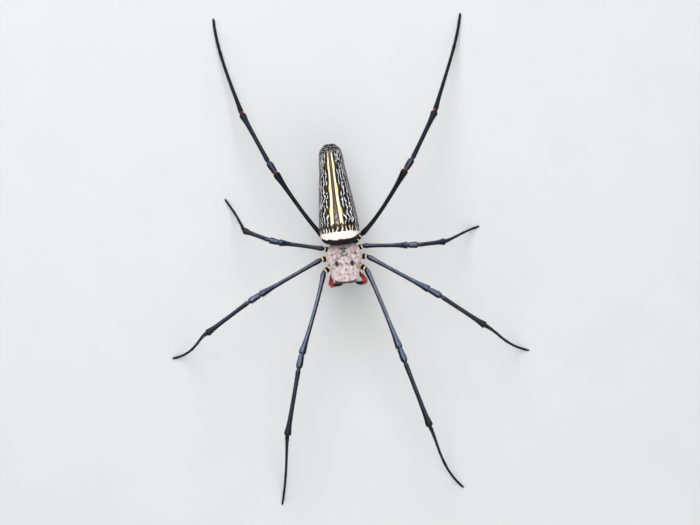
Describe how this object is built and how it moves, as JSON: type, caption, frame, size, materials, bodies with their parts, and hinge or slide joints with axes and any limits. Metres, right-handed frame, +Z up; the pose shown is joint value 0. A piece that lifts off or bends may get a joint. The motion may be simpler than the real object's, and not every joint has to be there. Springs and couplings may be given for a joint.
{
  "type": "golden silk orb weaver",
  "caption": "Long-legged orb-weaving spider, female, standing on its leg tips: pale shield over the thorax, striped cylindrical abdomen, slender dark legs.",
  "frame": {"origin": "on the floor, under the middle of the box that the legs span", "axes": "+Z up, the head toward -Y, the tip of the abdomen toward +Y, the animal's left side toward +X"},
  "size_m": [0.1186, 0.1636, 0.0321],
  "materials": {
    "leg": "satin black with a blue-grey sheen and fine short hair",
    "leg_root": "satin dark brown with cream rings",
    "shield": "silvery pinkish-grey, covered in short flat hair",
    "underside": "dark brown, softly shining",
    "abdomen": "leathery black with cream-yellow stripes and fine white lines",
    "spinneret": "brown, matte",
    "jaw": "glossy black",
    "fang": "glossy dark red-brown",
    "palp": "red with a black tip",
    "eye": "polished black"
  },
  "bodies": {
    "root": {"carapace": "shield", "sternum": "underside", "pedicel": "underside", "abdomen": "abdomen", "spinnerets": "spinneret", "chelicera_left": "jaw", "fang_left": "fang", "palp_left": "palp", "eye_front_middle_left": "eye", "eye_front_side_left": "eye", "eye_rear_middle_left": "eye", "eye_rear_side_left": "eye", "chelicera_right": "jaw", "fang_right": "fang", "palp_right": "palp", "eye_front_middle_right": "eye", "eye_front_side_right": "eye", "eye_rear_middle_right": "eye", "eye_rear_side_right": "eye", "leg1_left_hip": "leg_root", "leg1_left_femur": "leg", "leg1_left_patella": "leg", "leg1_left_tibia": "leg", "leg1_left_foot": "leg", "leg2_left_hip": "leg_root", "leg2_left_femur": "leg", "leg2_left_patella": "leg", "leg2_left_tibia": "leg", "leg2_left_foot": "leg", "leg3_left_hip": "leg_root", "leg3_left_femur": "leg", "leg3_left_patella": "leg", "leg3_left_tibia": "leg", "leg3_left_foot": "leg", "leg4_left_hip": "leg_root", "leg4_left_femur": "leg", "leg4_left_patella": "leg", "leg4_left_tibia": "leg", "leg4_left_foot": "leg", "leg1_right_hip": "leg_root", "leg1_right_femur": "leg", "leg1_right_patella": "leg", "leg1_right_tibia": "leg", "leg1_right_foot": "leg", "leg2_right_hip": "leg_root", "leg2_right_femur": "leg", "leg2_right_patella": "leg", "leg2_right_tibia": "leg", "leg2_right_foot": "leg", "leg3_right_hip": "leg_root", "leg3_right_femur": "leg", "leg3_right_patella": "leg", "leg3_right_tibia": "leg", "leg3_right_foot": "leg", "leg4_right_hip": "leg_root", "leg4_right_femur": "leg", "leg4_right_patella": "leg", "leg4_right_tibia": "leg", "leg4_right_foot": "leg"}
  },
  "joints": []
}
